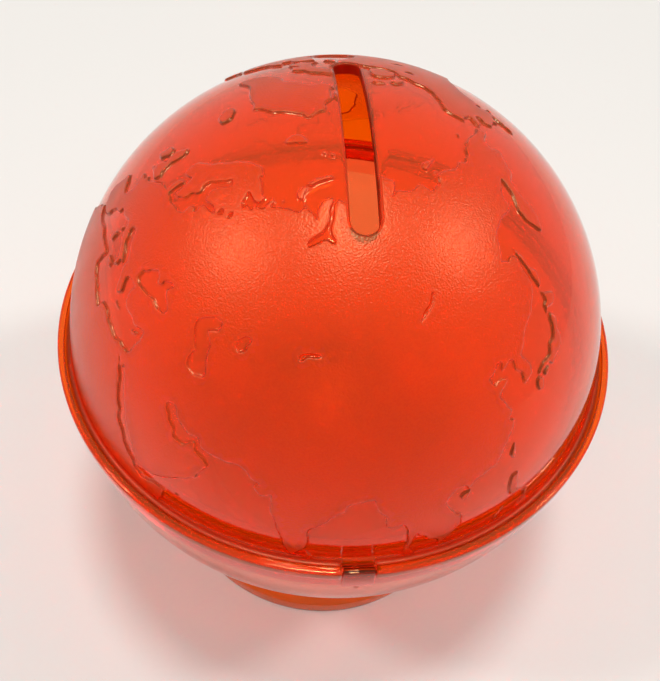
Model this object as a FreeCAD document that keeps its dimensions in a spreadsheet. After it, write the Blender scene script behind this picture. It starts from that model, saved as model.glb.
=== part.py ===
"""Globe money box: a domed upper half with a coin slot, a clear lower bowl and a round foot.

The origin is the middle of the foot's underside, +Z is up and the front, with the lug, faces -Y.
All sizes are millimetres.
"""
import FreeCAD, Part
import math
import os
import Sketcher

doc = FreeCAD.newDocument("GlobeMoneyBox")
sheet = doc.addObject("Spreadsheet::Sheet", "Sizes")
sheet_rows = []


class Size:
    """A length with its value for drawing and its spreadsheet formula for binding."""

    def __init__(self, formula, value):
        self.formula = formula
        self.value = value

    def __add__(self, other):
        return Size(f"({self.formula} + {other.formula})", self.value + other.value)

    def __sub__(self, other):
        return Size(f"({self.formula} - {other.formula})", self.value - other.value)

    def __neg__(self):
        return Size(f"(-{self.formula})", -self.value)

    def half(self):
        return Size(f"({self.formula} / 2)", self.value / 2)

    def leg(self, other):
        """The other short side of a right triangle whose long side is this size."""
        formula = f"sqrt({self.formula} ^ 2 - {other.formula} ^ 2)"
        return Size(formula, math.sqrt(self.value ** 2 - other.value ** 2))


ZERO = Size("0", 0.0)


def cell(alias, number):
    """Write one driving dimension into the sheet and return it as a Size."""
    sheet_rows.append(alias)
    row = len(sheet_rows)
    sheet.set(f"A{row}", alias)
    sheet.set(f"B{row}", str(number))
    sheet.setAlias(f"B{row}", alias)
    return Size(f"Sizes.{alias}", number)


# Upper half
dome_radius = cell("dome_radius", 50.0)
dome_wall = cell("dome_wall", 2.2)
rim_reach = cell("rim_reach", 2.6)
rim_thickness = cell("rim_thickness", 2.2)
rim_rounding = cell("rim_rounding", 0.5)
groove_radius = cell("groove_radius", 0.7)
slot_length = cell("slot_length", 39.0)
slot_width = cell("slot_width", 4.4)
slot_rounding = cell("slot_rounding", 0.6)

# Joint between the halves
spigot_rise = cell("spigot_rise", 3.6)
spigot_wall = cell("spigot_wall", 1.5)
spigot_clearance = cell("spigot_clearance", 0.1)
spigot_headroom = cell("spigot_headroom", 0.4)
spigot_bevel = cell("spigot_bevel", 0.4)

# Lower half
bowl_step = cell("bowl_step", 1.8)
bowl_ground_gap = cell("bowl_ground_gap", 12.2)
bowl_wall = cell("bowl_wall", 2.0)
bowl_rim_depth = cell("bowl_rim_depth", 3.0)
bowl_rim_slope = cell("bowl_rim_slope", 3.0)

# Lug and the notch it fills
lug_width = cell("lug_width", 5.2)
lug_drop = cell("lug_drop", 3.2)
lug_inset = cell("lug_inset", 0.2)
lug_root = cell("lug_root", 0.6)
lug_clearance = cell("lug_clearance", 0.3)
pip_radius = cell("pip_radius", 0.5)
pip_rise = cell("pip_rise", 0.4)
pip_gap = cell("pip_gap", 1.2)

# Foot
foot_radius = cell("foot_radius", 34.0)
foot_edge = cell("foot_edge", 4.0)
foot_lip = cell("foot_lip", 2.4)
foot_wall = cell("foot_wall", 2.4)
foot_height = cell("foot_height", 22.0)
foot_seat_width = cell("foot_seat_width", 3.0)
foot_seat_gap = cell("foot_seat_gap", 0.05)

doc.recompute()

# Sizes that follow from the driving ones
bowl_radius = dome_radius + bowl_step
seam_height = bowl_radius + bowl_ground_gap
rim_radius = dome_radius + rim_reach
rim_top = seam_height + rim_thickness
dome_inner_radius = dome_radius - dome_wall
spigot_radius = dome_inner_radius - spigot_clearance
spigot_inner_radius = spigot_radius - spigot_wall
bowl_inner_radius = bowl_radius - bowl_wall


def origin_plane(body, role):
    """One of the three base planes of a body."""
    for feature in body.Origin.OriginFeatures:
        if feature.Role == role:
            return feature
    raise RuntimeError(f"no {role} in {body.Label}")


def new_sketch(body, name, role, lift=None):
    """A sketch on a base plane of the body, raised along the plane's normal by lift."""
    sketch = body.newObject("Sketcher::SketchObject", name)
    sketch.AttachmentSupport = [(origin_plane(body, role), "")]
    sketch.MapMode = "FlatFace"
    if lift is not None:
        sketch.setExpression(".AttachmentOffset.Base.z", lift.formula)
    return sketch


def pin(sketch, geometry, point, kind, size):
    """Tie one coordinate of a point to a size measured from the sketch's origin."""
    if size.value == 0.0:
        axis = -2 if kind == "DistanceX" else -1
        sketch.addConstraint(Sketcher.Constraint("PointOnObject", geometry, point, axis))
        return
    if size.value > 0.0:
        index = sketch.addConstraint(Sketcher.Constraint(kind, -1, 1, geometry, point, size.value))
        sketch.setExpression(f"Constraints[{index}]", size.formula)
        return
    index = sketch.addConstraint(Sketcher.Constraint(kind, geometry, point, -1, 1, -size.value))
    sketch.setExpression(f"Constraints[{index}]", f"-{size.formula}")


def arc_between(start, end, centre, turn):
    """The arc from start to end about centre, counter-clockwise where turn is +1."""
    first, last = (start, end) if turn > 0 else (end, start)
    radius = (start - centre).Length
    first_angle = math.atan2(first.y - centre.y, first.x - centre.x)
    last_angle = math.atan2(last.y - centre.y, last.x - centre.x)
    circle = Part.Circle(centre, FreeCAD.Vector(0, 0, 1), radius)
    return Part.ArcOfCircle(circle, first_angle, last_angle)


def draw_outline(sketch, corners, arcs=None):
    """Draw a closed outline through the corners.

    Each side is straight, unless arcs names it by the index of its first corner. An arc is given as
    its centre, its turn and the coordinate of the centre that fixes it.
    """
    arcs = arcs or {}
    points = [FreeCAD.Vector(x.value, y.value, 0) for x, y in corners]
    count = len(points)
    starts = []
    ends = []
    for side in range(count):
        start = points[side]
        end = points[(side + 1) % count]
        if side not in arcs:
            geometry = sketch.addGeometry(Part.LineSegment(start, end))
            starts.append((geometry, 1))
            ends.append((geometry, 2))
            continue
        centre, turn, _ = arcs[side]
        middle = FreeCAD.Vector(centre[0].value, centre[1].value, 0)
        geometry = sketch.addGeometry(arc_between(start, end, middle, turn))
        starts.append((geometry, 1 if turn > 0 else 2))
        ends.append((geometry, 2 if turn > 0 else 1))
    for side in range(count):
        following = (side + 1) % count
        sketch.addConstraint(Sketcher.Constraint("Coincident", *ends[side], *starts[following]))
    for side, (x, y) in enumerate(corners):
        pin(sketch, *starts[side], "DistanceX", x)
        pin(sketch, *starts[side], "DistanceY", y)
    for side, (centre, _, fixed) in arcs.items():
        size = centre[0] if fixed == "DistanceX" else centre[1]
        pin(sketch, starts[side][0], 3, fixed, size)


def new_body(label):
    """A body whose label is the name of the piece."""
    body = doc.addObject("PartDesign::Body", label)
    body.Label = label
    return body


def turn_section(body, name, corners, arcs):
    """Turn a half section about the vertical axis."""
    sketch = new_sketch(body, f"{name}_section", "XZ_Plane")
    draw_outline(sketch, corners, arcs)
    solid = body.newObject("PartDesign::Revolution", f"{name}_turned")
    solid.Profile = sketch
    solid.ReferenceAxis = (sketch, ["V_Axis"])
    solid.Angle = 360.0
    doc.recompute()
    return solid


def circles_at(feature, radius, height):
    """Names of the round edges of a feature at a radius and a height."""
    names = []
    for number, edge in enumerate(feature.Shape.Edges, start=1):
        box = edge.BoundBox
        flat = box.ZLength < 1e-4 and abs(box.ZMax - height.value) < 1e-4
        if flat and abs(box.XMax - radius.value) < 1e-4:
            names.append(f"Edge{number}")
    return names


def slot_edges(feature):
    """Names of the edges where the coin slot meets the outside of the dome."""
    middle = FreeCAD.Vector(0, 0, seam_height.value)
    names = []
    for number, edge in enumerate(feature.Shape.Edges, start=1):
        reaches = [(vertex.Point - middle).Length for vertex in edge.Vertexes]
        outside = all(abs(reach - dome_radius.value) < 1e-4 for reach in reaches)
        if outside and edge.BoundBox.ZMin > rim_top.value + groove_radius.value:
            names.append(f"Edge{number}")
    return names


def cut_upwards(body, name, corners, arcs=None):
    """Cut an outline drawn on the table plane straight up through the body."""
    before = body.Shape.Volume
    sketch = new_sketch(body, f"{name}_outline", "XY_Plane")
    draw_outline(sketch, corners, arcs)
    pocket = body.newObject("PartDesign::Pocket", name)
    pocket.Profile = sketch
    pocket.Type = "ThroughAll"
    pocket.Reversed = True
    doc.recompute()
    if not body.Shape.Volume < before:
        raise RuntimeError(f"{name} cuts nothing")
    return pocket


def make_upper_dome():
    """Half globe with the rim, the groove above it, the coin slot and the notch for the lug."""
    body = new_body("upper_dome")
    centre = (ZERO, seam_height)
    bore_height = spigot_rise + spigot_headroom
    bore_top = seam_height + bore_height
    groove_inner = dome_radius.leg(rim_thickness)
    groove_middle = groove_inner + groove_radius
    corners = [
        (dome_inner_radius, seam_height),
        (rim_radius, seam_height),
        (rim_radius, rim_top),
        (groove_middle + groove_radius, rim_top),
        (groove_inner, rim_top),
        (ZERO, seam_height + dome_radius),
        (ZERO, seam_height + dome_inner_radius),
        (dome_inner_radius.leg(bore_height), bore_top),
        (dome_inner_radius, bore_top),
    ]
    arcs = {
        3: ((groove_middle, rim_top), -1, "DistanceY"),
        4: (centre, 1, "DistanceY"),
        6: (centre, -1, "DistanceY"),
    }
    shell = turn_section(body, "dome", corners, arcs)
    rounding = body.newObject("PartDesign::Fillet", "rim_edge")
    edges = circles_at(shell, rim_radius, seam_height) + circles_at(shell, rim_radius, rim_top)
    rounding.Base = (shell, edges)
    rounding.setExpression("Radius", rim_rounding.formula)
    doc.recompute()
    side = slot_width.half()
    straight = slot_length.half() - side
    slot_corners = [(side, -straight), (side, straight), (-side, straight), (-side, -straight)]
    slot_ends = {
        1: ((ZERO, straight), 1, "DistanceY"),
        3: ((ZERO, -straight), 1, "DistanceY"),
    }
    slot = cut_upwards(body, "coin_slot", slot_corners, slot_ends)
    soft_edge = body.newObject("PartDesign::Fillet", "slot_edge")
    soft_edge.Base = (slot, slot_edges(slot))
    soft_edge.setExpression("Radius", slot_rounding.formula)
    doc.recompute()
    notch_side = lug_width.half() + lug_clearance
    notch_back = -(dome_radius + lug_clearance)
    notch_front = -(rim_radius + lug_width)
    notch_corners = [
        (-notch_side, notch_front),
        (notch_side, notch_front),
        (notch_side, notch_back),
        (-notch_side, notch_back),
    ]
    cut_upwards(body, "rim_notch", notch_corners)
    return body


def make_lower_bowl():
    """Half globe that carries the spigot inside the dome's edge, the lug at the front and its pip."""
    body = new_body("lower_bowl")
    centre = (ZERO, seam_height)
    slope_end = bowl_rim_depth + bowl_rim_slope
    corners = [
        (ZERO, seam_height - bowl_radius),
        (bowl_radius, seam_height),
        (spigot_radius, seam_height),
        (spigot_radius, seam_height + spigot_rise),
        (spigot_inner_radius, seam_height + spigot_rise),
        (spigot_inner_radius, seam_height - bowl_rim_depth),
        (bowl_inner_radius.leg(slope_end), seam_height - slope_end),
        (ZERO, seam_height - bowl_inner_radius),
    ]
    arcs = {
        0: (centre, 1, "DistanceY"),
        6: (centre, -1, "DistanceY"),
    }
    shell = turn_section(body, "bowl", corners, arcs)
    bevel = body.newObject("PartDesign::Chamfer", "spigot_lead_in")
    bevel.Base = (shell, circles_at(shell, spigot_radius, seam_height + spigot_rise))
    bevel.setExpression("Size", spigot_bevel.formula)
    doc.recompute()
    lug_side = lug_width.half()
    lug_front = -(rim_radius - lug_inset)
    lug_back = -(bowl_radius - lug_root)
    lug_sketch = new_sketch(body, "lug_outline", "XY_Plane", seam_height - lug_drop)
    draw_outline(lug_sketch, [
        (-lug_side, lug_front),
        (lug_side, lug_front),
        (lug_side, lug_back),
        (-lug_side, lug_back),
    ])
    lug = body.newObject("PartDesign::Pad", "lug")
    lug.Profile = lug_sketch
    lug.setExpression("Length", (lug_drop + rim_thickness).formula)
    doc.recompute()
    pip_drop = lug_drop + pip_gap
    pip_root = bowl_radius - bowl_wall.half()
    pip_sketch = new_sketch(body, "pip_outline", "XZ_Plane", pip_root)
    pip_circle = pip_sketch.addGeometry(Part.Circle(
        FreeCAD.Vector(0, (seam_height - pip_drop).value, 0),
        FreeCAD.Vector(0, 0, 1),
        pip_radius.value,
    ))
    pin(pip_sketch, pip_circle, 3, "DistanceX", ZERO)
    pin(pip_sketch, pip_circle, 3, "DistanceY", seam_height - pip_drop)
    radius = pip_sketch.addConstraint(Sketcher.Constraint("Radius", pip_circle, pip_radius.value))
    pip_sketch.setExpression(f"Constraints[{radius}]", pip_radius.formula)
    pip = body.newObject("PartDesign::Pad", "pip")
    pip.Profile = pip_sketch
    pip_length = bowl_radius.leg(pip_drop) - pip_root + pip_rise
    pip.setExpression("Length", pip_length.formula)
    doc.recompute()
    return body


def make_foot_ring():
    """Flared ring that hugs the underside of the bowl and stands on the table."""
    body = new_body("foot_ring")
    seat_radius = bowl_radius + foot_seat_gap
    neck_radius = seat_radius.leg(seam_height - foot_height)
    seat_inner = neck_radius - foot_seat_width
    foot_inner_radius = foot_radius - foot_wall
    corners = [
        (foot_inner_radius, ZERO),
        (foot_radius, ZERO),
        (foot_radius, foot_edge),
        (neck_radius, foot_height),
        (seat_inner, seam_height - seat_radius.leg(seat_inner)),
        (foot_inner_radius, foot_lip),
    ]
    arcs = {3: ((ZERO, seam_height), -1, "DistanceY")}
    turn_section(body, "foot", corners, arcs)
    return body


pieces = [make_upper_dome(), make_lower_bowl(), make_foot_ring()]
doc.recompute()

for thing in doc.Objects:
    if "Invalid" in thing.State or "Error" in thing.State:
        raise RuntimeError(f"{thing.Label} did not build: {thing.State}")
for piece in pieces:
    shape = piece.Shape
    if shape.isNull() or not shape.isValid() or len(shape.Solids) != 1:
        raise RuntimeError(f"{piece.Label} is not one sound solid")

os.makedirs("parts", exist_ok=True)
for piece in pieces:
    piece.Shape.exportStep(f"parts/{piece.Label}.step")
    box = piece.Shape.optimalBoundingBox()
    print(f"{piece.Label}: {piece.Shape.Volume / 1000:.2f} cm3, {box.XLength:.1f} x {box.YLength:.1f} "
          f"x {box.ZLength:.1f} mm, z {box.ZMin:.2f} to {box.ZMax:.2f}")
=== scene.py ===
# %% [markdown]
# # A see-through globe money box
# The money box is three mouldings of tinted, see-through plastic: a domed upper half with a raised map and
# a coin slot, a clear lower bowl, and a foot that the bowl stands on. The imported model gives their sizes
# and the one joint, along which the dome lifts off. Each cell below makes one piece or one finish.

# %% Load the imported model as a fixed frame
import math
import random

import bmesh
import bpy
import numpy as np
from mathutils import Matrix, Vector
from mathutils.geometry import delaunay_2d_cdt
from mathutils.kdtree import KDTree


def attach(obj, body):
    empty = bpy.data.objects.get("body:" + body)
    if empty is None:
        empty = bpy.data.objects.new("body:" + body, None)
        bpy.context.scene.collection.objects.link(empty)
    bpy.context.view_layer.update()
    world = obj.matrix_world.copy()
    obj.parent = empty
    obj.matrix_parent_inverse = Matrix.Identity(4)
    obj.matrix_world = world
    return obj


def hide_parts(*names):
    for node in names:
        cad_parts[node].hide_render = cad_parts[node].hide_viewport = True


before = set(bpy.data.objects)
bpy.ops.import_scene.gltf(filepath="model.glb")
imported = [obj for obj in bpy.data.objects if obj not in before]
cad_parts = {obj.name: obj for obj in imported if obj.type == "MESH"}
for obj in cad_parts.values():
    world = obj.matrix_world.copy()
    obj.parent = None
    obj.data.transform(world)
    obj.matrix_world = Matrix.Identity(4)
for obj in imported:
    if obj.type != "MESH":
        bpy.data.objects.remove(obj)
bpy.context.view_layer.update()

# %% [markdown]
# ## Sizes
# All the pieces are turned about one upright axis, so a few radii and heights fix them. The lengths are
# written in millimetres, as a mould maker would have them, and each mesh is scaled to metres at the end.

# %% Sizes in millimetres
MM = 0.001
SEAM = 64.0
DOME_RADIUS = 50.0
DOME_INNER = 47.8
RIM_RADIUS = 52.6
RIM_THICKNESS = 2.2
RIM_ROUNDING = 0.5
GROOVE_RADIUS = 0.7
BORE_HEIGHT = 4.0
SLOT_LENGTH = 39.0
SLOT_WIDTH = 4.4
SLOT_ROUNDING = 0.6
NOTCH_HALF = 2.9
NOTCH_BACK = 50.3
print("dome", 2 * DOME_RADIUS, "mm across, seam", SEAM, "mm above the table")

# %% [markdown]
# ## The coasts
# The raised land is a plain map of the northern half of the world, with the pole at the coin slot and the
# equator at the seam. A height map painted by hand would need a picture file, so the coasts are kept as
# short lists of degrees east and north, and a later cell makes them wander as a real coast does.

# %% The two large lands
OLD_WORLD = [
    (25.7, 71.1), (31, 70.3), (30, 69.6), (33, 69.4), (41, 67.7), (41, 66.3), (38, 66.1), (33, 66.7),
    (34.5, 65.2), (34.8, 64.4), (37.5, 63.9), (36.8, 64.9), (40.5, 64.6), (39.8, 65.6), (44, 66),
    (44, 68.3), (43.3, 68.6), (46, 68.2), (46, 66.9), (49, 67.8), (53.5, 68.3), (59, 68.4), (60.5, 69.8),
    (65, 69.2), (68.5, 68.2), (66.8, 69.6), (68.5, 72.5), (72.8, 72.8), (72.3, 71.2), (73.4, 69.5),
    (72.8, 67.4), (72, 66.2), (67.4, 64), (68.4, 63.3), (73.2, 65.3), (75.2, 65.2), (77.4, 64.7),
    (78.2, 65.3), (75.6, 66.4), (75, 67.5), (75.2, 69.2), (74.6, 70.5), (74.2, 71.8), (75.5, 72.8),
    (78.5, 72.3), (80.5, 72.5),
    (83, 70.5), (83.8, 70.8), (82.5, 72.2), (81.2, 73.5), (87, 75), (92, 76), (98, 76.2), (104.3, 77.7),
    (107, 76.6), (112.5, 75.9), (110, 74.3), (106, 73), (111, 73.9), (114, 73.6), (119, 73),
    (123.5, 73.2), (126.5, 73.6), (129.5, 71), (133, 71.5), (137.5, 71.3), (140, 72.6), (146, 72.4),
    (152, 70.9), (159, 70.8), (160.5, 69.6), (167, 69.6), (170.3, 70.1), (176, 69.8), (180, 69),
    (185, 67.3), (190.2, 66.1), (187.5, 64.3), (182, 65.5), (178.5, 64.5), (179.3, 62.4), (172.5, 61),
    (170.3, 60), (165.5, 60.2), (163, 58), (162, 56.2), (160, 53), (156.7, 51), (155.6, 53.5),
    (155.6, 56.8), (161.5, 60.3), (164, 62.3), (160.3, 61.8), (157, 61.6), (155, 59.4), (151.5, 59),
    (145.5, 59.4), (142, 59), (138, 56.5), (135.2, 54.7), (137.5, 53.7), (139.5, 54.2), (141.3, 53.2),
    (140.5, 50), (140.3, 48), (138, 46), (135.5, 44.3), (132.2, 43.1), (130.7, 42.3), (129.7, 41),
    (127.5, 39.5), (129.4, 37.2), (129.3, 35.4), (126.5, 34.4), (126.5, 36.8), (125, 38), (125.3, 39.5),
    (124.3, 40), (121.5, 38.9), (122, 40.5), (120.8, 40.6), (118.8, 39.1), (117.8, 38.8), (119, 37.3),
    (120.8, 37.8), (122.5, 37.3), (120.3, 36), (119.3, 35), (120.8, 32.8), (121.8, 31.5), (120.5, 30.3),
    (122, 29.8), (121, 28), (119.7, 26.5), (118, 24.5), (116.5, 23), (114.2, 22.3), (111.5, 21.5),
    (110.4, 20.4), (109.7, 21.5), (108, 21.5), (106.7, 20.4), (105.8, 19), (107.2, 16.8), (108.9, 15.2),
    (109.3, 12.5), (107.2, 10.4), (105, 8.7), (104.8, 10.3), (103, 11), (102.3, 12.2), (100.9, 12.7),
    (100.5, 13.5), (99.9, 12), (99.3, 10), (100.3, 8.3), (101, 6.9), (103, 5.5), (103.5, 3.5),
    (104.2, 1.4), (103.4, 1.4), (101.3, 3), (100.3, 5.5), (98.3, 8.3), (98.7, 10.5), (98.6, 13.5),
    (97.6, 16.3), (95.4, 15.8), (94.4, 16.2), (94.3, 18.5), (92.3, 20.8), (91.8, 22.4), (90.3, 22.2),
    (88.5, 21.7), (87, 21.3), (86.5, 20), (82.3, 16.8), (80.2, 15.5), (80.2, 13), (79.8, 10.4),
    (78.2, 8.9), (77.5, 8.1), (76.3, 9.8), (74.2, 14.8), (73, 17.5), (72.8, 20), (72.7, 21.6),
    (72.2, 21.2), (70.5, 20.8), (69, 22.3), (70.3, 23), (68.3, 23.6), (67, 24.8), (64.5, 25.3),
    (61.5, 25.1), (57.3, 25.7), (57, 27), (54.5, 26.6), (51.5, 27.9), (50.2, 30), (48.5, 30), (48, 29.4),
    (49.5, 27.2), (50.2, 26.6), (51.3, 25.9), (51.4, 24.6), (54, 24.2), (56.1, 26), (56.5, 24.5),
    (58.7, 23.6), (59.8, 22.5), (57.8, 20), (57.7, 19), (55.2, 17.5), (52.2, 15.7), (48.7, 14),
    (45, 12.8), (43.4, 12.7), (42.8, 15), (42, 16.9), (39.2, 20.6), (38.5, 22.5), (35.5, 28), (34.9, 29.4),
    (34.3, 27.9), (32.7, 29.8), (33.7, 27.5), (35.5, 24), (37.2, 21), (37.3, 19), (38.8, 17.5),
    (39.7, 15.3), (42.7, 12.9), (43.2, 11.5), (45, 10.6), (51.2, 11.9), (50.5, 9.5), (48, 4.8), (45.5, 2),
    (42, -1), (42, -6), (9.5, -6), (9.5, 1), (9.7, 4), (8.5, 4.6), (6, 4.3), (4.5, 6.3), (1.5, 6.2),
    (-2, 4.8), (-5, 5.1), (-7.5, 4.4), (-11.5, 6.8), (-13.3, 9), (-15, 11), (-16.7, 12.5), (-17.4, 14.7),
    (-16.5, 16), (-16.3, 19), (-17, 21), (-16, 23.7), (-14.5, 26.2), (-13, 27.7), (-10, 29.5),
    (-9.8, 31.5), (-8.5, 33.3), (-6.8, 34.1), (-5.9, 35.8), (-3, 35.3), (0, 35.9), (3, 36.9), (7, 37),
    (10, 37.3), (11, 36.9), (10.5, 34.5), (10.2, 33.8), (11.5, 33.1), (15.2, 32.3), (19.5, 30.5),
    (20.1, 32.3), (23, 32.6), (25.2, 31.6), (29, 30.9), (31, 31.5), (32.3, 31.2), (34.2, 31.3), (35.1, 33),
    (35.9, 34.8), (36, 36.8), (34.5, 36.6), (32.8, 36.1), (30.6, 36.8), (27.3, 37), (26.3, 38.5),
    (26.2, 39.9), (26.8, 40.6), (26, 40.8), (24, 40.7), (22.8, 40.5), (23, 39.2), (24, 37.7), (22.8, 36.5),
    (21.3, 37.7), (20.8, 38.8), (19.3, 40.5), (19.5, 41.8), (17.5, 43), (15.2, 44.3), (14.5, 45.2),
    (13.7, 45.6), (12.3, 45.2), (12.4, 44.2), (13.6, 43.5), (14.2, 42.4), (16, 41.9), (18.4, 40.2),
    (16.9, 40.4), (17.1, 39), (15.7, 37.9), (15.7, 40), (14.3, 40.8), (12.3, 41.7), (10.5, 42.9), (9.8, 44),
    (8.8, 44.4), (7.5, 43.8), (5.2, 43.3), (3.1, 43.1), (3.2, 41.9), (0.8, 40.9), (-0.2, 39.3), (0.1, 38.7),
    (-0.8, 37.6), (-2.2, 36.8), (-5.4, 36.1), (-6.3, 36.8), (-8.9, 37), (-9.4, 38.7), (-8.8, 41),
    (-9.2, 43.1), (-8, 43.7), (-4, 43.4), (-1.6, 43.4), (-1.2, 45.5), (-2.3, 47.2), (-4.7, 48.1),
    (-1.6, 48.6), (-1.8, 49.7), (0.2, 49.6), (1.6, 50.8), (4.8, 53), (7, 53.5), (8.6, 53.9), (8.2, 55.5),
    (8.2, 57), (10.6, 57.7), (10.3, 56), (10.8, 54), (12.3, 54.3), (14.2, 53.9), (16.5, 54.5), (18.7, 54.6),
    (21, 55.3), (21, 57.3), (22.6, 57.7), (24.1, 57), (23.5, 58.7), (25, 59.5), (28, 59.5), (30, 59.9),
    (27, 60.5), (23, 59.9), (21.3, 61), (21.5, 63), (25.3, 65), (22.3, 65.8), (21.3, 64.5), (17.3, 62.3),
    (17.2, 60.7), (18.9, 59.9), (16.7, 58.3), (16.4, 56.5), (14.2, 55.4), (12.8, 55.5), (12.5, 56.3),
    (11.3, 58.5), (10.6, 59.3), (7, 58), (5.6, 58.8), (5, 61), (9.7, 63.7), (12.3, 65.8), (14.5, 67.7),
    (16.5, 68.6), (19.5, 70),
]
NEW_WORLD = [
    (192, 65.6), (198.5, 66.3), (196.5, 68), (193.5, 68.4), (198, 70.3), (203.5, 71.3), (211, 70.4),
    (219, 69.6), (225, 69.4), (231, 70.1), (235, 69.5), (240, 69.8), (245, 68), (251, 67.9), (258, 68.3),
    (263, 68.2), (265.5, 71.8), (267.5, 69.5), (270, 68.8), (275, 69.5), (278.5, 69.3), (278.5, 67.5),
    (273.5, 66.2), (273, 64.5), (268.5, 63.5), (266, 61.8), (265.2, 58.8), (267.5, 57), (272.5, 56.5),
    (277.7, 55.2), (279, 52.8), (279.2, 51.5), (281, 51.3), (281.2, 53), (280.3, 54.8), (283, 57),
    (281.7, 58.7), (282.2, 62.4), (287, 62.1), (290, 61), (290.3, 59), (293.5, 58.8), (295.5, 60.3),
    (298, 57.3), (302, 54.7), (304.3, 52.5), (300, 50.2), (294, 50.2), (288.5, 46.9), (295.7, 48.8),
    (295, 47.5), (296, 46.2), (299.8, 46.8), (299, 45.3), (294.3, 43.6), (294.5, 45.2), (290.5, 43.8),
    (289.3, 42.4), (290, 41.8), (286, 40.7), (285, 38.8), (284, 37), (284.5, 35.3), (281.5, 33.7),
    (278.8, 31.5), (278.6, 30.2), (280, 26.9), (279.5, 25.2), (278.2, 26.3), (277.3, 28.3), (275, 30),
    (270.7, 30.1), (270.5, 29.1), (268, 29.6), (265, 29.3), (262.6, 27.5), (262.3, 24), (262.2, 22),
    (264, 18.8), (266, 18.2), (269, 18.8), (269.6, 20.9), (273, 21.5), (272.5, 19), (271.6, 17.8),
    (271.5, 15.9), (275, 15.9), (276.8, 15), (276.3, 12), (276.5, 10.8), (278.2, 8.9), (280.4, 9.5),
    (282.5, 8.9), (283.5, 10), (285, 11), (288.2, 12.4), (288.7, 10.9), (291.5, 10.7), (297, 10.7),
    (300, 8.8), (302.5, 6.5), (306, 5.8), (308.5, 4.3), (310, 1.5), (310.5, 0), (315, -2), (325, -6),
    (280, -6), (279.2, -1), (280, 1), (281.5, 2.5), (282.7, 4.2), (282.3, 7), (281.8, 8.2), (280.5, 8.9),
    (279.7, 7.5), (277.2, 8.3), (276.2, 9.8), (274.3, 11.2), (272.4, 13.1), (269.5, 13.8), (266, 16),
    (263.5, 15.8), (259.5, 17), (256.5, 18.2), (254.4, 20.3), (254.6, 22), (251, 24.8), (250.5, 26.5),
    (247.7, 29.5), (246.8, 31.5), (245.3, 30.3), (248, 27), (250.2, 24.3), (250.3, 23), (248, 24.8),
    (245.7, 27.3), (244.3, 29.8), (242.9, 32.5), (239.5, 34.5), (238, 36.8), (236.3, 38.5), (235.7, 40.5),
    (235.8, 43), (235.8, 46.5), (235.3, 48.3), (237.5, 48.5), (236.5, 50), (232, 51.5), (229.7, 54.5),
    (227, 57), (224, 58.3), (220.3, 59.7), (215, 60.3), (211.5, 60), (208, 59.3), (208.5, 61), (206, 59),
    (202, 56.8), (197, 55), (195.5, 54.8), (199.5, 56.5), (202.5, 58.7), (198, 58.7), (198, 60.3),
    (194.5, 61.5), (195.5, 63.2), (199.3, 63.6), (199, 64.6), (194, 64.5),
]
print("large lands:", len(OLD_WORLD), "and", len(NEW_WORLD), "points")

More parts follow.
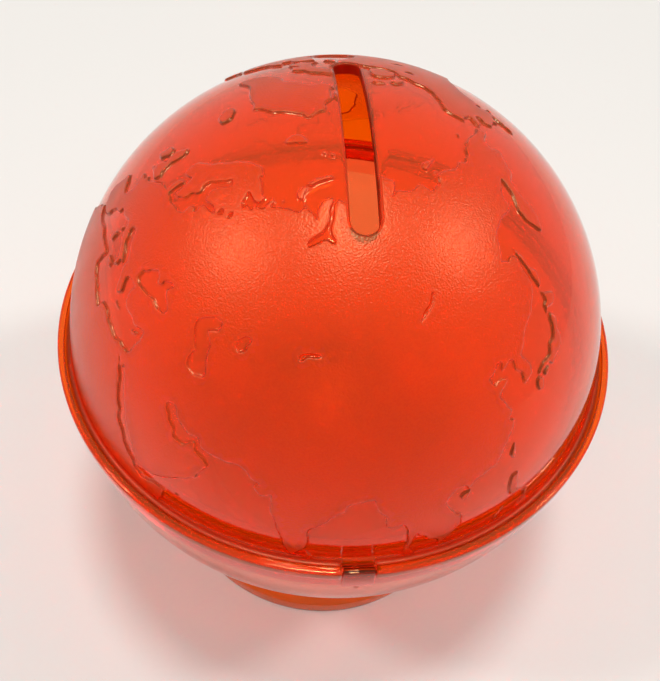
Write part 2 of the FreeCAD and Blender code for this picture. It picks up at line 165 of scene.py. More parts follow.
# %% The islands
ISLANDS = [
    [(287, 78.3), (288, 77.5), (293, 76), (300, 76), (302.5, 74.5), (305.5, 72), (308.5, 70), (306.5, 68.7),
     (306.8, 66), (308.5, 64), (311.5, 61), (316, 60), (317, 61.8), (320, 65.3), (326, 67), (330, 68.3),
     (335, 70), (338, 70.2), (338.5, 72.5), (341, 75), (340.5, 77), (342, 80), (348, 81.4), (337, 82.5),
     (327, 83.6), (315, 82.5), (300, 82), (295, 80.5), (293, 79.5)],
    [(297, 81.8), (290, 83.1), (278, 82.5), (270, 81.6), (272, 80), (275, 78.5), (271, 76.5), (280, 76.3),
     (282, 78), (284.5, 79), (291, 80.5)],
    [(266, 78.2), (271, 78.3), (271.5, 80), (268, 81.3), (264, 79.5)],
    [(264, 76.7), (270, 75.9), (280.5, 75.7), (279, 74.6), (268.5, 74.6)],
    [(270.5, 73.8), (278, 73.7), (284, 72.5), (291.5, 70.5), (293, 68.5), (297.5, 66.7), (295.5, 65),
     (292.5, 66.2), (295, 63), (288.5, 62.6), (286.5, 64.4), (281.5, 64.3), (286, 65.5), (287.5, 68),
     (281.5, 70), (271, 70.5), (270.5, 72)],
    [(242.5, 71), (243.5, 69.2), (250, 68.7), (257.5, 69.5), (255, 72.8), (249, 73), (244, 72)],
    [(236.5, 74.2), (241.5, 74), (240, 72.7), (236, 71.3), (234.5, 72.8)],
    [(260, 73.8), (266, 73.9), (267, 72.5), (262, 71.5)],
    [(243.5, 75.2), (250, 74.8), (254, 75.7), (249, 76.5)],
    [(274.5, 65.6), (274.3, 63.8), (277, 63.3), (279.5, 63.8), (276.5, 65.3)],
    [(300.7, 47.7), (302.5, 49.8), (304.2, 51.5), (304.5, 49.8), (307, 48), (306.7, 46.7), (304, 47)],
    [(231.8, 50.7), (234.2, 50.2), (236.5, 48.5), (234.5, 48.9)],
    [(205.6, 57.6), (207.3, 58.1), (207.8, 57.4), (206, 56.9)],
    [(275, 21.9), (277.5, 23.1), (281, 22.6), (285.8, 20.2), (282.3, 19.9), (281, 21.3)],
    [(285.6, 18.3), (287, 19.9), (291.6, 18.6), (289, 17.8)],
    [(335.6, 65.5), (338, 66.4), (344, 66.5), (346.4, 65), (341.5, 63.4), (337.3, 63.9)],
    [(-5.7, 50.1), (-3, 50.7), (1.3, 51.2), (1.7, 52.6), (0.3, 53), (-1.5, 55), (-2, 57.5), (-3.1, 58.6),
     (-5, 58.6), (-5.8, 56.5), (-4.9, 54.7), (-3, 54), (-4.5, 53.2), (-4.7, 52), (-5.2, 51.8), (-3, 51.3)],
    [(-10, 51.6), (-6.4, 52.2), (-5.6, 54.5), (-7.4, 55.3), (-10, 54.2), (-9, 53)],
    [(14, 77), (11, 79), (16, 80), (22, 80.2), (27, 80), (21, 78.3), (17, 76.6)],
    [(46, 80.6), (50, 81), (52, 80.4), (48, 80.1)],
    [(54, 81), (58, 81.3), (61, 81), (57, 80.4)],
    [(52, 71.5), (53, 73), (56.3, 73.2), (57.6, 70.7), (55, 70.6)],
    [(54, 73.6), (57, 75.3), (65, 76.9), (69, 76.8), (61, 75.2), (57.5, 73.7)],
    [(91, 80), (95, 81.2), (98, 80.2), (104, 79), (102, 78), (97, 79)],
    [(137, 75.6), (141, 76.1), (145, 75.5), (151, 75.1), (143, 74.9), (138, 74.7)],
    [(140, 73.5), (143.5, 73.4), (142, 73.1)],
    [(178.7, 71.1), (182, 71.4), (181.5, 70.9)],
    [(48.3, 69.2), (49.8, 69.2), (49.2, 68.7)],
    [(58.8, 70.3), (60.2, 70.2), (59.6, 69.8)],
    [(142.5, 54.3), (143.3, 52.5), (143.3, 49.5), (144.5, 48.8), (143.3, 46.8), (142, 46), (142, 48),
     (142.2, 51), (141.9, 53)],
    [(141.8, 45.4), (144.3, 44.1), (145.5, 43.3), (143.3, 42), (141, 42.5), (140, 41.6), (140.4, 43.3),
     (141.6, 43.5)],
    [(141.2, 41.3), (142, 39.6), (141, 38.2), (140.8, 35.7), (139.8, 35), (138.3, 34.6), (136.8, 34.4),
     (135.8, 33.5), (135, 34.6), (132.5, 34.2), (131, 34), (131, 34.5), (133, 35.5), (136, 35.7),
     (136.8, 37.3), (138.6, 37.4), (140, 39.5), (140.2, 40.8)],
    [(130.8, 33.8), (131.9, 33), (131.3, 31.4), (130.2, 31.3), (129.8, 33)],
    [(132.5, 33.8), (134.5, 34.1), (134.2, 33.3), (132.8, 32.8)],
    [(121.5, 25.2), (121.3, 23.3), (120.8, 22), (120.1, 23.2)],
    [(109.3, 19.9), (110.9, 20), (110.3, 18.7), (109.2, 18.3), (108.7, 19.2)],
    [(120.7, 18.5), (122.2, 18.4), (121.6, 16), (122, 14.3), (124, 12.7), (123.2, 13.2), (120.6, 13.8),
     (120, 16)],
    [(122, 7.2), (123.5, 8.5), (125.5, 9.7), (126.4, 7.5), (125.5, 5.7), (124, 6.5)],
    [(117.2, 8.4), (119.5, 11.2), (119.3, 10.4), (117.8, 8.6)],
    [(124.3, 12.4), (125.5, 12.2), (125.2, 10.2), (124.6, 10.8)],
    [(109, 1.5), (111.3, 2.5), (113, 3.2), (115, 5), (116.8, 7), (119.2, 5.2), (117.8, 3.5), (119, 1),
     (117.5, -1), (117.5, -5), (109, -5)],
    [(95.3, 5.6), (97.5, 5.2), (100.3, 2.8), (103.5, 0.2), (104, -4), (100, -4), (98.7, 1.5), (96, 3.8)],
    [(79.8, 8.2), (80.1, 9.8), (81.3, 8.5), (81.8, 7), (80.5, 5.9), (79.8, 7)],
    [(53.4, 12.6), (54.5, 12.6), (53.9, 12.3)],
    [(12.5, 37.9), (15.5, 38.2), (15.1, 36.7), (13.5, 37.2)],
    [(8.2, 40.8), (9.5, 41.1), (9.6, 39.2), (8.5, 39)],
    [(8.6, 42), (9.4, 43), (9.5, 41.7)],
    [(23.6, 35.5), (26.3, 35.2), (24.8, 34.9)],
    [(32.3, 35), (34.5, 35.6), (33.9, 34.9), (32.7, 34.6)],
]
print("islands:", len(ISLANDS))

# %% The lakes and inland seas
LAKES = [
    [(25.5, 42.2), (25.8, 43.8), (27.5, 45.2), (29.5, 46.2), (31, 45.6), (31.5, 44.6), (33, 45), (33, 46),
     (35, 46.6), (36.4, 46.6), (35.6, 45.7), (35, 45), (36, 44.3), (38.5, 42.7), (38, 41.8), (35.5, 41.6),
     (33, 42.3), (29.5, 41.8), (27, 41.6)],
    [(48, 45.8), (49.5, 46.4), (51.5, 46.9), (53, 46.8), (53, 45.2), (51, 44.6), (50.3, 44.3), (52.6, 42.6),
     (52.6, 41.2), (53, 40), (53.5, 39), (53.9, 37.2), (51.5, 36.7), (49.3, 37.5), (48.9, 38.8),
     (49.4, 40.3), (50.3, 40.4), (48.5, 41.8), (47.6, 43), (46.8, 44.8)],
    [(58.3, 44.2), (58.5, 45.6), (60, 46.6), (61.7, 46.3), (60.9, 45.2), (61, 44.3), (59.5, 43.6)],
    [(73.5, 45.6), (74, 46.5), (76, 46.8), (79, 46.6), (75.5, 46.3), (74.3, 45.2)],
    [(103.7, 51.5), (107.6, 53.3), (109.7, 55.7), (109.2, 55.9), (108, 54.4), (104.5, 52)],
    [(30.9, 60.1), (30.5, 61.2), (31.5, 61.6), (32.8, 60.8)],
    [(34.5, 61.9), (35.3, 62.5), (36.2, 61.3), (35.3, 60.9)],
    [(268, 46.7), (270.5, 48), (272, 48.8), (275.2, 47.5), (275.3, 46.5), (272.5, 46.6)],
    [(272.2, 42), (272.4, 44.5), (274, 45.9), (274.9, 45.6), (273.8, 43.5), (273, 41.8)],
    [(276, 46), (279.8, 45), (278.4, 43.2), (277, 44)],
    [(276.8, 41.6), (281, 42.8), (279, 41.9)],
    [(280.4, 43.3), (283.6, 44), (283.5, 43.4)],
    [(262.8, 50.5), (261.5, 53.7), (263.3, 52)],
    [(244, 61), (250, 62.8), (247, 61.2)],
    [(236, 66.3), (241, 66.5), (239, 65.3)],
]
print("lakes:", len(LAKES))

# %% [markdown]
# ## From coasts to a relief
# A displacement map would blur the crisp edge between the raised land and the sunken sea. Here each coast is
# laid on the unit sphere, broken into short steps with a seeded random sway, and rows of points are set
# along it at the foot, the middle and the top of its small cliff. An even spiral of points fills the rest.

# %% Coast lines on the unit sphere
MAP_STRETCH = 0.09
SWAY = 0.10
SWAY_LIMIT = 1.2 / DOME_RADIUS
STEP_LIMIT = 0.34 / DOME_RADIUS
sway_draw = random.Random(7)


def globe_point(east, north):
    """A place on the map as a point of the unit sphere, with 90 degrees east at the front.

    The map is stretched towards the rim, so the seam lies a little north of the equator.
    """
    from_pole = (90 - north) / 90
    lon = math.radians(east)
    lat = math.radians(90 - 90 * from_pole * (1 + MAP_STRETCH * from_pole ** 3))
    return Vector((-math.cos(lat) * math.cos(lon), -math.cos(lat) * math.sin(lon), math.sin(lat)))


def split_step(a, b, line):
    """Add the points from a up to, but not with, b, halving the step until it is short."""
    span = (b - a).length
    if span <= STEP_LIMIT:
        line.append(a)
        return
    middle = (a + b).normalized()
    if span > SWAY_LIMIT:
        middle += middle.cross(b - a).normalized() * span * sway_draw.uniform(-SWAY, SWAY)
        middle.normalize()
    split_step(a, middle, line)
    split_step(middle, b, line)


def coast_line(places):
    """A closed coast as an array of points, with its corners softened."""
    corners = [globe_point(*place) for place in places]
    line = []
    for a, b in zip(corners, corners[1:] + corners[:1]):
        split_step(a, b, line)
    points = np.array(line)
    for _ in range(2):
        points = 0.5 * points + 0.25 * (np.roll(points, 1, axis=0) + np.roll(points, -1, axis=0))
    return points / np.linalg.norm(points, axis=1, keepdims=True)


land_lines = [coast_line(places) for places in [OLD_WORLD, NEW_WORLD] + ISLANDS]
lake_lines = [coast_line(places) for places in LAKES]
print("coast points:", sum(len(line) for line in land_lines + lake_lines))

# %% Helpers for the flat chart of the sphere


def to_chart(points):
    """Flatten points of the unit sphere by lines from the south pole, which keeps circles round."""
    points = np.asarray(points, float)
    return points[:, :2] / (1 + points[:, 2:3])


def inside_outline(flat, outline):
    """Which points of the chart lie inside a closed outline."""
    inside = np.zeros(len(flat), bool)
    low, high = outline.min(axis=0), outline.max(axis=0)
    near = np.nonzero(((flat >= low) & (flat <= high)).all(axis=1))[0]
    after = np.roll(outline, -1, axis=0)
    rise = np.where(after[:, 1] == outline[:, 1], 1e-12, after[:, 1] - outline[:, 1])
    for part in np.array_split(near, max(1, len(near) // 2000)):
        x, y = flat[part, :1], flat[part, 1:]
        spans = (outline[:, 1] > y) != (after[:, 1] > y)
        crossing = outline[:, 0] + (y - outline[:, 1]) * (after[:, 0] - outline[:, 0]) / rise
        inside[part] = (spans & (x < crossing)).sum(axis=1) % 2 == 1
    return inside


def is_land(flat):
    """Which points of the chart are on the raised land."""
    land = np.zeros(len(flat), bool)
    for line in land_lines:
        land |= inside_outline(flat, to_chart(line))
    for line in lake_lines:
        land &= ~inside_outline(flat, to_chart(line))
    return land


print("land at the pole and at 90 E 50 N:", is_land(to_chart([globe_point(0, 89.9), globe_point(90, 50)])))

# %% [markdown]
# ## The slot, the rim and the notch
# The slot is a stadium cut straight down, and the rim is a turned section with a groove above it and one
# notch at the front. The outer skin, the slot's walls, the inner skin and the rim share their edge points,
# so that the dome comes out as one closed shell, as see-through plastic needs.

# %% Outline of the slot and columns round the rim
SLOT_POINTS_STRAIGHT = 60
SLOT_POINTS_ROUND = 16
SLOT_EDGE_STEPS = 5
RIM_COLUMNS = 480
NOTCH_COLUMNS = 10


def slot_outline():
    """Points and outward directions round the stadium of the slot, seen from above."""
    half, straight = SLOT_WIDTH / 2, (SLOT_LENGTH - SLOT_WIDTH) / 2
    points, normals = [], []
    for side in (1, -1):
        for step in range(SLOT_POINTS_STRAIGHT):
            points.append((side * half, side * straight * (2 * step / SLOT_POINTS_STRAIGHT - 1)))
            normals.append((side, 0.0))
        for step in range(SLOT_POINTS_ROUND):
            turn = math.pi * step / SLOT_POINTS_ROUND
            normals.append((side * math.cos(turn), side * math.sin(turn)))
            points.append((half * normals[-1][0], side * straight + half * normals[-1][1]))
    return np.array(points), np.array(normals)


def turned_column(radius, height, share):
    """A point of the rim. Shares from -1 to 1 lie in the notch, and from 1 to 3 round the rest."""
    edge = math.asin(NOTCH_HALF / radius)
    angle = math.asin(NOTCH_HALF * share / radius) if share < 1 else edge + (share - 1) * (math.pi - edge)
    return (radius * math.sin(angle), -radius * math.cos(angle), height)


slot_points, slot_normals = slot_outline()
notch_shares = [2 * step / NOTCH_COLUMNS - 1 for step in range(NOTCH_COLUMNS + 1)]
round_shares = [1 + 2 * step / RIM_COLUMNS for step in range(RIM_COLUMNS + 1)]
ring_shares = notch_shares[:-1] + round_shares[:-1]
print("slot outline:", len(slot_points), "points, rim:", len(ring_shares), "columns")

# %% Helpers for points on the dome


def slot_ring(grow, sphere_radius, drop=0.0):
    """The slot's outline grown by a width and set on a sphere, in millimetres from the sphere's middle."""
    flat = slot_points + slot_normals * grow
    height = np.sqrt(sphere_radius ** 2 - (flat ** 2).sum(axis=1)) - drop
    return np.column_stack([flat, height])


def spiral(spacing):
    """Evenly spread points over the unit sphere."""
    count = int(4 * math.pi / (0.866 * (spacing / DOME_RADIUS) ** 2))
    index = np.arange(count) + 0.5
    height = 1 - 2 * index / count
    turn = math.pi * (1 + 5 ** 0.5) * index
    flat = np.sqrt(1 - height ** 2)
    return np.column_stack([flat * np.cos(turn), flat * np.sin(turn), height])


def clear_of_edges(points, margin, ring_height, slot_grow):
    """Which points of the unit sphere are off the rim and off the slot by a margin."""
    flat = np.abs(points[:, :2]) * DOME_RADIUS
    beyond = np.maximum(flat[:, 1] - (SLOT_LENGTH - SLOT_WIDTH) / 2, 0)
    from_slot = np.hypot(flat[:, 0], beyond) - SLOT_WIDTH / 2
    return (points[:, 2] > ring_height + margin / DOME_RADIUS) & (from_slot > slot_grow + margin)


def thin_out(rows, spacing):
    """Keep the points of each row in turn that stand off the points kept so far."""
    kept, taken = [], {}
    cell = spacing / DOME_RADIUS
    for row in rows:
        for point in row:
            key = tuple(np.floor(point / cell).astype(int))
            around = (
                taken.get((key[0] + i, key[1] + j, key[2] + k), ())
                for i in (-1, 0, 1) for j in (-1, 0, 1) for k in (-1, 0, 1)
            )
            if all(((point - other) ** 2).sum() >= cell ** 2 for group in around for other in group):
                taken.setdefault(key, []).append(point)
                kept.append(point)
    return np.array(kept)


print("helpers ready, an even spiral 5 mm apart has", len(spiral(5.0)), "points")

# %% Points of the outer skin
CLIFF_HALF = 0.18
SKIRT = 0.42
SKIN_SPACING = 0.9
EDGE_MARGIN = 0.25
OPEN_MARGIN = 0.4
COAST_SPACING = 0.12
GROOVE_INNER = math.sqrt(DOME_RADIUS ** 2 - RIM_THICKNESS ** 2)


def coast_rows():
    """Points along every coast: its middle, and its foot, top and skirts on both sides."""
    rows = {0.0: [], CLIFF_HALF: [], -CLIFF_HALF: [], SKIRT: [], -SKIRT: []}
    for line in land_lines + lake_lines:
        ahead = np.roll(line, -1, axis=0) - np.roll(line, 1, axis=0)
        side = np.cross(line, ahead)
        side /= np.linalg.norm(side, axis=1, keepdims=True)
        for offset, row in rows.items():
            moved = line + side * offset / DOME_RADIUS
            row.append(moved / np.linalg.norm(moved, axis=1, keepdims=True))
    return [np.vstack(row) for row in rows.values()]


ring_height = RIM_THICKNESS / DOME_RADIUS
coast_tree_points = np.vstack(land_lines + lake_lines)
coast_tree = KDTree(len(coast_tree_points))
for number, point in enumerate(coast_tree_points):
    coast_tree.insert(point, number)
coast_tree.balance()
near_rows = [row[clear_of_edges(row, EDGE_MARGIN, ring_height, SLOT_ROUNDING)] for row in coast_rows()]
near_points = thin_out(near_rows, COAST_SPACING)
open_points = spiral(SKIN_SPACING)
open_points = open_points[clear_of_edges(open_points, OPEN_MARGIN, ring_height, SLOT_ROUNDING)]
from_coast = np.array([coast_tree.find(point)[2] for point in open_points]) * DOME_RADIUS
open_points = open_points[from_coast > SKIRT + OPEN_MARGIN]
print("outer skin:", len(near_points), "points by the coasts and", len(open_points), "between them")

# %% Join points into a skin


def skin(inner_points, ring, slot):
    """Triangles over the points, bounded by a ring outside and the slot inside.

    The points come back in the order ring, slot, inner points.
    """
    points = np.vstack([ring, slot, inner_points])
    flat = to_chart(points / np.linalg.norm(points, axis=1, keepdims=True))
    n_ring, n_slot = len(ring), len(slot)
    edges = [(i, (i + 1) % n_ring) for i in range(n_ring)]
    edges += [(n_ring + i, n_ring + (i + 1) % n_slot) for i in range(n_slot)]
    result = delaunay_2d_cdt([Vector(p) for p in flat], edges, [], 0, 1e-9)
    chart, faces, origins = result[0], result[2], result[3]
    if len(chart) != len(points) or any(len(origin) != 1 for origin in origins):
        print("skin: the chart has", len(chart), "points for", len(points))
    order = [origin[0] for origin in origins]
    faces = np.array([[order[corner] for corner in face] for face in faces])
    middle = flat[faces].mean(axis=1)
    keep = ~inside_outline(middle, flat[n_ring:n_ring + n_slot])
    return points, faces[keep]


outer_ring = np.array([turned_column(GROOVE_INNER, RIM_THICKNESS, share) for share in ring_shares])
outer_slot = slot_ring(SLOT_ROUNDING, DOME_RADIUS)
outer_points, outer_faces = skin(
    np.vstack([near_points, open_points]) * DOME_RADIUS, outer_ring, outer_slot)
INNER_SPACING = 1.5
INNER_MARGIN = 0.8
INNER_SLOT_ROUNDING = 0.2
INNER_RING_RADIUS = math.sqrt(DOME_INNER ** 2 - BORE_HEIGHT ** 2)
inner_ring = np.array([turned_column(INNER_RING_RADIUS, BORE_HEIGHT, share) for share in ring_shares])
inner_slot = slot_ring(INNER_SLOT_ROUNDING, DOME_INNER)
inner_open = spiral(INNER_SPACING)
inner_open = inner_open[clear_of_edges(inner_open, INNER_MARGIN, BORE_HEIGHT / DOME_INNER, 0.5)]
inner_points, inner_faces = skin(inner_open * DOME_INNER, inner_ring, inner_slot)
print("outer skin:", len(outer_faces), "triangles, inner skin:", len(inner_faces))

# %% How high each outer point stands
EDGE_HIGHLIGHT_WIDTH = 0.2
SLOPE_SHADE = 0.45
flat_points = to_chart(outer_points / DOME_RADIUS)
signed = np.array([coast_tree.find(point)[2] for point in outer_points / DOME_RADIUS]) * DOME_RADIUS
signed = np.where(is_land(flat_points), signed, -signed)
outer_land = np.clip(0.5 + signed / (2 * CLIFF_HALF), 0, 1)
# A highlight is painted along the top edge of each coast.
outer_edge_highlight = np.exp(-((signed - CLIFF_HALF) / EDGE_HIGHLIGHT_WIDTH) ** 2)
# A shade is painted down the slope of each coast.
outer_slope_shade = SLOPE_SHADE * np.exp(-(signed / CLIFF_HALF) ** 2)
print("share of the skin on land:", round(float((outer_land > 0.5).mean()), 3))

# %% Section of the rim, from the groove to the bore
GROOVE_STEPS = 4
NOTCH_CROSSING = math.hypot(NOTCH_BACK, NOTCH_HALF)
groove_middle = GROOVE_INNER + GROOVE_RADIUS


def arc(middle_x, middle_z, radius, start, end, steps):
    """Points along an arc in degrees, with both ends."""
    turns = [math.radians(start + (end - start) * step / steps) for step in range(steps + 1)]
    return [(middle_x + radius * math.cos(turn), middle_z + radius * math.sin(turn)) for turn in turns]


crossing_turn = 360 - math.degrees(math.acos((NOTCH_CROSSING - groove_middle) / GROOVE_RADIUS))
rim_corner = RIM_RADIUS - RIM_ROUNDING
rim_section = (
    arc(groove_middle, RIM_THICKNESS, GROOVE_RADIUS, 180, crossing_turn, GROOVE_STEPS)
    + arc(groove_middle, RIM_THICKNESS, GROOVE_RADIUS, crossing_turn, 360, 6)[1:]
    + arc(rim_corner, RIM_THICKNESS - RIM_ROUNDING, RIM_ROUNDING, 90, 0, 6)
    + [(RIM_RADIUS, RIM_ROUNDING)]
    + arc(rim_corner, RIM_ROUNDING, RIM_ROUNDING, 0, -90, 6)[1:]
    + [(NOTCH_CROSSING, 0.0), (DOME_INNER + 0.15, 0.0), (DOME_INNER, 0.15), (DOME_INNER, BORE_HEIGHT),
       (INNER_RING_RADIUS, BORE_HEIGHT)]
)
# The notch starts at the point of the groove that its flat back crosses, and ends under the rim.
NOTCH_FIRST = GROOVE_STEPS
NOTCH_LAST = rim_section.index((NOTCH_CROSSING, 0.0))
NOTCH_SIDE = rim_section.index((RIM_RADIUS, RIM_ROUNDING))
print("rim section:", len(rim_section), "points, notch from point", NOTCH_FIRST, "to", NOTCH_LAST)

# %% [markdown]
# ## The dome as one closed shell
# The skins and rows of points above are joined here. Beside its place, each point keeps how much it is land
# or sea, how near it lies to the top edge of a coast, where a highlight is painted, and how deep it lies in a
# cut, a groove or a coast's slope, where a shade is painted, for the relief and the finish later on.

# %% A collector of points and faces


class ShellMaker:
    """Collects points, faces and how much each point is land, sea, painted coast highlight or cut wall and
    painted shade.
    """

    def __init__(self):
        self.points, self.faces = [], []
        self.shares = {"land": [], "sea": [], "edge": [], "cut": []}

    def add(self, points, **shares):
        """Add points with their shares, which are 0 where none is given, and return their numbers."""
        first = len(self.points)
        self.points.extend(tuple(point) for point in points)
        for label, kept in self.shares.items():
            kept.extend(np.broadcast_to(shares.get(label, 0.0), len(points)).tolist())
        return list(range(first, len(self.points)))

    def bridge(self, row_a, row_b, closed=True):
        """Four-sided faces between two rows of point numbers."""
        count = len(row_a)
        for i in range(count if closed else count - 1):
            j = (i + 1) % count
            self.faces.append((row_a[i], row_a[j], row_b[j], row_b[i]))

    def mesh(self, name):
        """A mesh in metres with the sphere's middle at the seam, closed and facing outwards."""
        data = bpy.data.meshes.new(name)
        lifted = np.array(self.points) + (0, 0, SEAM)
        data.from_pydata((lifted * MM).tolist(), [], self.faces)
        for label, shares in self.shares.items():
            kept = data.attributes.new(label, "FLOAT", "POINT")
            kept.data.foreach_set("value", np.array(shares, np.float32))
        work = bmesh.new()
        work.from_mesh(data)
        bmesh.ops.recalc_face_normals(work, faces=work.faces)
        open_edges = sum(1 for edge in work.edges if len(edge.link_faces) != 2)
        work.to_mesh(data)
        work.free()
        print(name, "faces:", len(data.polygons), "open edges:", open_edges)
        return data


print("shares kept at each point:", sorted(ShellMaker().shares))

# %% The skins and the walls of the slot
dome_maker = ShellMaker()
outer_ids = dome_maker.add(outer_points, land=outer_land, sea=1 - outer_land, edge=outer_edge_highlight,
                           cut=outer_slope_shade)
dome_maker.faces.extend(tuple(outer_ids[corner] for corner in face) for face in outer_faces.tolist())
inner_ids = dome_maker.add(inner_points)
dome_maker.faces.extend(tuple(inner_ids[corner] for corner in face) for face in inner_faces.tolist())

ring_count, slot_count = len(ring_shares), len(slot_points)
slot_rows = [outer_ids[ring_count:ring_count + slot_count]]
slot_land = outer_land[ring_count:ring_count + slot_count]
# The slot's walls, rounded at the top, are matt and get a painted shade.
for step in range(1, SLOT_EDGE_STEPS + 1):
    turn = math.pi / 2 * step / SLOT_EDGE_STEPS
    row = slot_ring(SLOT_ROUNDING * (1 - math.sin(turn)), DOME_RADIUS, SLOT_ROUNDING * (1 - math.cos(turn)))
    slot_rows.append(dome_maker.add(row, sea=(1 - slot_land) * math.cos(turn), cut=math.sin(turn) ** 2))
slot_rows.append(dome_maker.add(slot_ring(0.0, DOME_INNER, -INNER_SLOT_ROUNDING), cut=1.0))
slot_rows.append(inner_ids[ring_count:ring_count + slot_count])
for upper, lower in zip(slot_rows, slot_rows[1:]):
    dome_maker.bridge(upper, lower)
print("slot walls:", len(slot_rows), "rows of", slot_count, "points")

# %% The rim and its notch
# The groove above the rim and the top of the bore get a painted shade.
GROOVE_SHADE = 0.7
rim_last = len(rim_section) - 1
round_rows, notch_rows = [], []
for number, (r, z) in enumerate(rim_section):
    if number in (0, rim_last):
        ring = (outer_ids if number == 0 else inner_ids)[:ring_count]
        round_rows.append(ring[NOTCH_COLUMNS:] + ring[:1])
        notch_rows.append(ring[:NOTCH_COLUMNS + 1])
        continue
    in_groove_or_bore = r < GROOVE_INNER + 2 * GROOVE_RADIUS and z > RIM_ROUNDING
    shade = GROOVE_SHADE if in_groove_or_bore else 0.0
    round_row = dome_maker.add([turned_column(r, z, share) for share in round_shares], cut=shade)
    round_rows.append(round_row)
    in_notch = NOTCH_FIRST <= number <= NOTCH_LAST
    if NOTCH_FIRST < number < NOTCH_SIDE or number == NOTCH_LAST - 1:
        notch_rows.append(notch_rows[-1])
        continue
    columns = [turned_column(r, z, share) for share in notch_shares]
    if in_notch:
        columns = [(NOTCH_HALF * share, -NOTCH_BACK, z) for share in notch_shares]
    if NOTCH_FIRST < number < NOTCH_LAST:
        notch_rows.append(dome_maker.add(columns))
    else:
        notch_rows.append([round_row[-1]] + dome_maker.add(columns[1:-1]) + [round_row[0]])
for rows in (round_rows, notch_rows):
    for upper, lower in zip(rows, rows[1:]):
        if upper is not lower:
            dome_maker.bridge(upper, lower, closed=False)
for round_end, notch_end in ((0, -1), (-1, 0)):
    wall = [round_rows[i][round_end] for i in range(NOTCH_FIRST, NOTCH_LAST + 1)]
    back = [notch_rows[i][notch_end] for i in range(NOTCH_LAST - 1, NOTCH_FIRST, -1)]
    dome_maker.faces.append(tuple(wall + [i for i in dict.fromkeys(back) if i != wall[0]]))

dome_sheet = dome_maker.mesh("dome_sheet")

# %% [markdown]
# ## Sinking the sea
# The shell above is smooth, and only remembers in its "land" and "sea" attributes which points are which.
# A small Geometry Nodes tree sinks the sea towards the sphere's middle, so that the depth of the relief is
# one named input that can be changed without making the skin again.

# %% Material slots
dome_plastic = bpy.data.materials.new("globe_dome_plastic")
bowl_plastic = bpy.data.materials.new("globe_bowl_plastic")
foot_plastic = bpy.data.materials.new("globe_foot_plastic")
print("materials:", [m.name for m in (dome_plastic, bowl_plastic, foot_plastic)])

# %% Helpers for node trees


def new_tree(name, inputs):
    """An empty Geometry Nodes tree with a geometry input, named inputs and a geometry output."""
    tree = bpy.data.node_groups.new(name, "GeometryNodeTree")
    tree.interface.new_socket("Geometry", in_out="INPUT", socket_type="NodeSocketGeometry")
    for label, kind in inputs:
        tree.interface.new_socket(label, in_out="INPUT", socket_type=kind)
    tree.interface.new_socket("Geometry", in_out="OUTPUT", socket_type="NodeSocketGeometry")
    return tree, tree.nodes.new("NodeGroupInput"), tree.nodes.new("NodeGroupOutput")


def add_node(tree, kind, links=(), **settings):
    """A node with its settings made and its inputs linked or filled."""
    node = tree.nodes.new(kind)
    for name, value in settings.items():
        setattr(node, name, value)
    for key, source in links:
        if isinstance(source, bpy.types.NodeSocket):
            tree.links.new(source, node.inputs[key])
        else:
            node.inputs[key].default_value = source
    return node


def calculate(tree, operation, a, b=0.0):
    """The result of one sum on one or two values."""
    return add_node(tree, "ShaderNodeMath", [(0, a), (1, b)], operation=operation).outputs[0]


def close_tree(tree, geometry, material, group_out):
    """End a tree in Realize Instances and Set Material."""
    real = add_node(tree, "GeometryNodeRealizeInstances", [(0, geometry)])
    coat = add_node(tree, "GeometryNodeSetMaterial", [("Geometry", real.outputs[0]), ("Material", material)])
    tree.links.new(coat.outputs[0], group_out.inputs[0])


def run_tree(name, tree, values, mesh=None):
    """Run a tree on a mesh and keep the result as a plain mesh object."""
    carrier = bpy.data.objects.new(name, mesh or bpy.data.meshes.new(name))
    bpy.context.scene.collection.objects.link(carrier)
    modifier = carrier.modifiers.new(tree.name, "NODES")
    modifier.node_group = tree
    identifiers = {item.name: item.identifier for item in tree.interface.items_tree if item.in_out == "INPUT"}
    for label, value in values.items():
        modifier[identifiers[label]] = value
    depsgraph = bpy.context.evaluated_depsgraph_get()
    result = bpy.data.meshes.new_from_object(carrier.evaluated_get(depsgraph))
    carrier.modifiers.clear()
    carrier.data = result
    result.name = name
    return carrier


print("helpers for trees ready")

# %% The relief tree
RELIEF_DEPTH = 0.36
relief, relief_in, relief_out = new_tree("sunken_sea", [
    ("Depth", "NodeSocketFloat"), ("Middle height", "NodeSocketFloat"), ("Material", "NodeSocketMaterial")])
sea_share = add_node(relief, "GeometryNodeInputNamedAttribute", [("Name", "sea")], data_type="FLOAT")
place = add_node(relief, "GeometryNodeInputPosition")
middle = add_node(relief, "ShaderNodeCombineXYZ", [("Z", relief_in.outputs["Middle height"])])
reach = add_node(relief, "ShaderNodeVectorMath", [(0, middle.outputs[0]), (1, place.outputs[0])],
                 operation="SUBTRACT")
inward = add_node(relief, "ShaderNodeVectorMath", [(0, reach.outputs[0])], operation="NORMALIZE")
sink = calculate(relief, "MULTIPLY", sea_share.outputs["Attribute"], relief_in.outputs["Depth"])
shift = add_node(relief, "ShaderNodeVectorMath", [(0, inward.outputs[0]), ("Scale", sink)], operation="SCALE")
sunk = add_node(relief, "GeometryNodeSetPosition", [
    ("Geometry", relief_in.outputs["Geometry"]), ("Offset", shift.outputs[0])])
smooth = add_node(relief, "GeometryNodeSetShadeSmooth", [("Geometry", sunk.outputs[0])])
close_tree(relief, smooth.outputs[0], relief_in.outputs["Material"], relief_out)

globe_dome = run_tree("globe_dome", relief, {
    "Depth": RELIEF_DEPTH * MM, "Middle height": SEAM * MM, "Material": dome_plastic}, dome_sheet)
globe_dome.data.attributes.remove(globe_dome.data.attributes["sea"])
print("globe_dome:", len(globe_dome.data.polygons), "faces, box", tuple(globe_dome.dimensions))

# %% Keep the moulded edges crisp
CRISP_RADII = [
    (GROOVE_INNER + 2 * GROOVE_RADIUS, RIM_THICKNESS), (DOME_INNER, BORE_HEIGHT),
    (INNER_RING_RADIUS, BORE_HEIGHT)]


